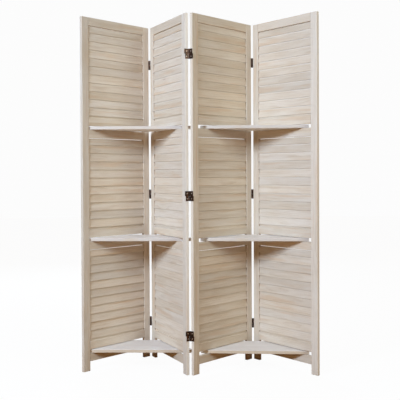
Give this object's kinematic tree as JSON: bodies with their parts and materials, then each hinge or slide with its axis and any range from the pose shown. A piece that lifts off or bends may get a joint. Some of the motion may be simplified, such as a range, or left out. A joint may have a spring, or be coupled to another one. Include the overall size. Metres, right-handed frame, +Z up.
{
  "type": "folding screen with shelves",
  "caption": "Louvred wooden folding screen in a zig-zag, with tapered shelf boards laid through slots in its panels.",
  "frame": {"origin": "on the floor, under the middle of the whole screen as it stands half folded", "axes": "+Z up, -Y towards the front, +X to the right as seen from the front"},
  "size_m": [1.1254, 0.4564, 1.7],
  "materials": {
    "frame_wood": "whitewashed, matt",
    "slat_wood": "whitewashed, matt",
    "shelf_wood": "whitewashed, matt",
    "hinge_metal": "dark bronze, satin"
  },
  "bodies": {
    "left_outer_panel": {"panel_1_left_stile": "frame_wood", "panel_1_right_stile": "frame_wood", "panel_1_top_rail": "frame_wood", "panel_1_low_rails": "frame_wood", "panel_1_middle_rails": "frame_wood", "panel_1_upper_rails": "frame_wood", "panel_1_low_louvre": "slat_wood", "panel_1_middle_louvre": "slat_wood", "panel_1_upper_louvre": "slat_wood", "left_fold_bored_leaves": "hinge_metal"},
    "left_inner_panel": {"panel_2_left_stile": "frame_wood", "panel_2_right_stile": "frame_wood", "panel_2_top_rail": "frame_wood", "panel_2_low_rails": "frame_wood", "panel_2_middle_rails": "frame_wood", "panel_2_upper_rails": "frame_wood", "panel_2_low_louvre": "slat_wood", "panel_2_middle_louvre": "slat_wood", "panel_2_upper_louvre": "slat_wood", "left_fold_pinned_leaves": "hinge_metal", "centre_fold_bored_leaves": "hinge_metal"},
    "right_inner_panel": {"panel_3_left_stile": "frame_wood", "panel_3_right_stile": "frame_wood", "panel_3_top_rail": "frame_wood", "panel_3_low_rails": "frame_wood", "panel_3_middle_rails": "frame_wood", "panel_3_upper_rails": "frame_wood", "panel_3_low_louvre": "slat_wood", "panel_3_middle_louvre": "slat_wood", "panel_3_upper_louvre": "slat_wood", "centre_fold_pinned_leaves": "hinge_metal", "right_fold_bored_leaves": "hinge_metal"},
    "right_outer_panel": {"panel_4_left_stile": "frame_wood", "panel_4_right_stile": "frame_wood", "panel_4_top_rail": "frame_wood", "panel_4_low_rails": "frame_wood", "panel_4_middle_rails": "frame_wood", "panel_4_upper_rails": "frame_wood", "panel_4_low_louvre": "slat_wood", "panel_4_middle_louvre": "slat_wood", "panel_4_upper_louvre": "slat_wood", "right_fold_pinned_leaves": "hinge_metal"},
    "left_low_board": {"left_low_shelf": "shelf_wood"},
    "left_middle_board": {"left_middle_shelf": "shelf_wood"},
    "left_upper_board": {"left_upper_shelf": "shelf_wood"},
    "right_low_board": {"right_low_shelf": "shelf_wood"},
    "right_middle_board": {"right_middle_shelf": "shelf_wood"},
    "right_upper_board": {"right_upper_shelf": "shelf_wood"}
  },
  "joints": [
    {"name": "left_fold", "type": "hinge", "parent": "left_inner_panel", "child": "left_outer_panel", "pos_m": [-0.25212, 0.21375, 0.85], "axis": [0, 0, 1], "range_deg": [-116, 64]},
    {"name": "centre_fold", "type": "hinge", "parent": "left_inner_panel", "child": "right_inner_panel", "pos_m": [-0.04238, -0.20078, 0.85], "axis": [0, 0, 1], "range_deg": [-116, 17]},
    {"name": "right_fold", "type": "hinge", "parent": "right_inner_panel", "child": "right_outer_panel", "pos_m": [0.27349, 0.13988, 0.85], "axis": [0, 0, 1], "range_deg": [-76.5, 103.5]},
    {"name": "left_low_shelf_slide", "type": "slide", "parent": "left_inner_panel", "child": "left_low_board", "axis": [-0.0349, -0.9994, 0], "range_m": [-0.035, 0.0005]},
    {"name": "left_middle_shelf_slide", "type": "slide", "parent": "left_inner_panel", "child": "left_middle_board", "axis": [-0.0349, -0.9994, 0], "range_m": [-0.035, 0.0005]},
    {"name": "left_upper_shelf_slide", "type": "slide", "parent": "left_inner_panel", "child": "left_upper_board", "axis": [-0.0349, -0.9994, 0], "range_m": [-0.035, 0.0005]},
    {"name": "right_low_shelf_slide", "type": "slide", "parent": "right_inner_panel", "child": "right_low_board", "axis": [-0.0698, -0.9976, 0], "range_m": [0, 0.33]},
    {"name": "right_middle_shelf_slide", "type": "slide", "parent": "right_inner_panel", "child": "right_middle_board", "axis": [-0.0698, -0.9976, 0], "range_m": [0, 0.33]},
    {"name": "right_upper_shelf_slide", "type": "slide", "parent": "right_inner_panel", "child": "right_upper_board", "axis": [-0.0698, -0.9976, 0], "range_m": [0, 0.33]}
  ]
}
